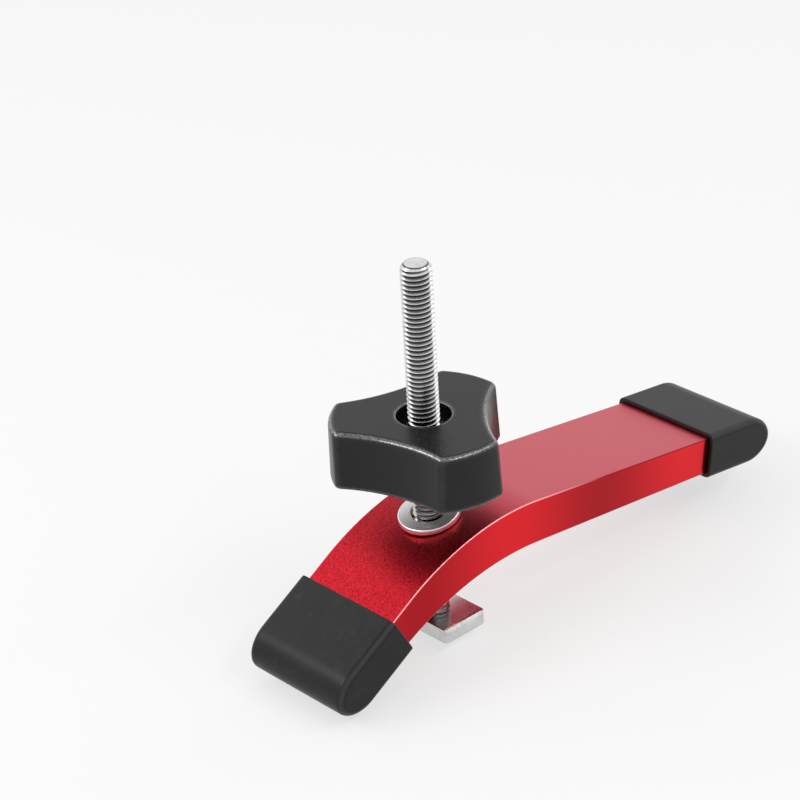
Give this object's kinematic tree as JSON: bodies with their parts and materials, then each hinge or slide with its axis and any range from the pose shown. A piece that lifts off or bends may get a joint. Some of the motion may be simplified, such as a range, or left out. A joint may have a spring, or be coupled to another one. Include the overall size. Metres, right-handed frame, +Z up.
{
  "type": "t-track hold-down clamp",
  "caption": "Bent slotted bar with rubber-capped ends, pressed down on a T-head bolt by a three-lobed knob over a washer.",
  "frame": {"origin": "centre of the T-head's flat underside, on the bolt's axis", "axes": "+Z up the bolt to its free end, +X along the arm to its toe, +Y along the T-head, which is the track's direction"},
  "size_m": [0.1606, 0.0456, 0.1015],
  "materials": {
    "bolt_zinc": "bright zinc plating on a full-length thread",
    "washer_zinc": "satin zinc plating",
    "arm_red": "red anodised, satin blasted faces and glossier sides",
    "cap_rubber": "matt soft rubber",
    "insert_brass": "turned brass",
    "knob_plastic": "moulded, satin"
  },
  "bodies": {
    "t_bolt": {"t_bolt": "bolt_zinc"},
    "washer": {"washer": "washer_zinc"},
    "arm": {"clamp_arm": "arm_red", "toe_cap": "cap_rubber", "heel_cap": "cap_rubber"},
    "knob_insert": {"knob_insert": "insert_brass"},
    "knob": {"knob": "knob_plastic"}
  },
  "joints": [
    {"name": "washer_swivel", "type": "hinge", "parent": "t_bolt", "child": "washer", "pos_m": [0, 0, 0.0311], "axis": [0, 0, 1], "continuous": true},
    {"name": "arm_slide", "type": "slide", "parent": "washer", "child": "arm", "axis": [0.9829, 0, 0.1843], "range_m": [-0.0135, 0.0015]},
    {"name": "knob_lift", "type": "slide", "parent": "t_bolt", "child": "knob_insert", "axis": [0, 0, 1], "range_m": [-0.0107, 0.0445]},
    {"name": "knob_spin", "type": "hinge", "parent": "knob_insert", "child": "knob", "pos_m": [0, 0, 0.052], "axis": [0, 0, 1], "range_deg": [-3060, 12780]}
  ],
  "couplings": [
    {"joint": "knob_lift", "follows": "knob_spin", "m_per_rad": 0.00019894}
  ]
}
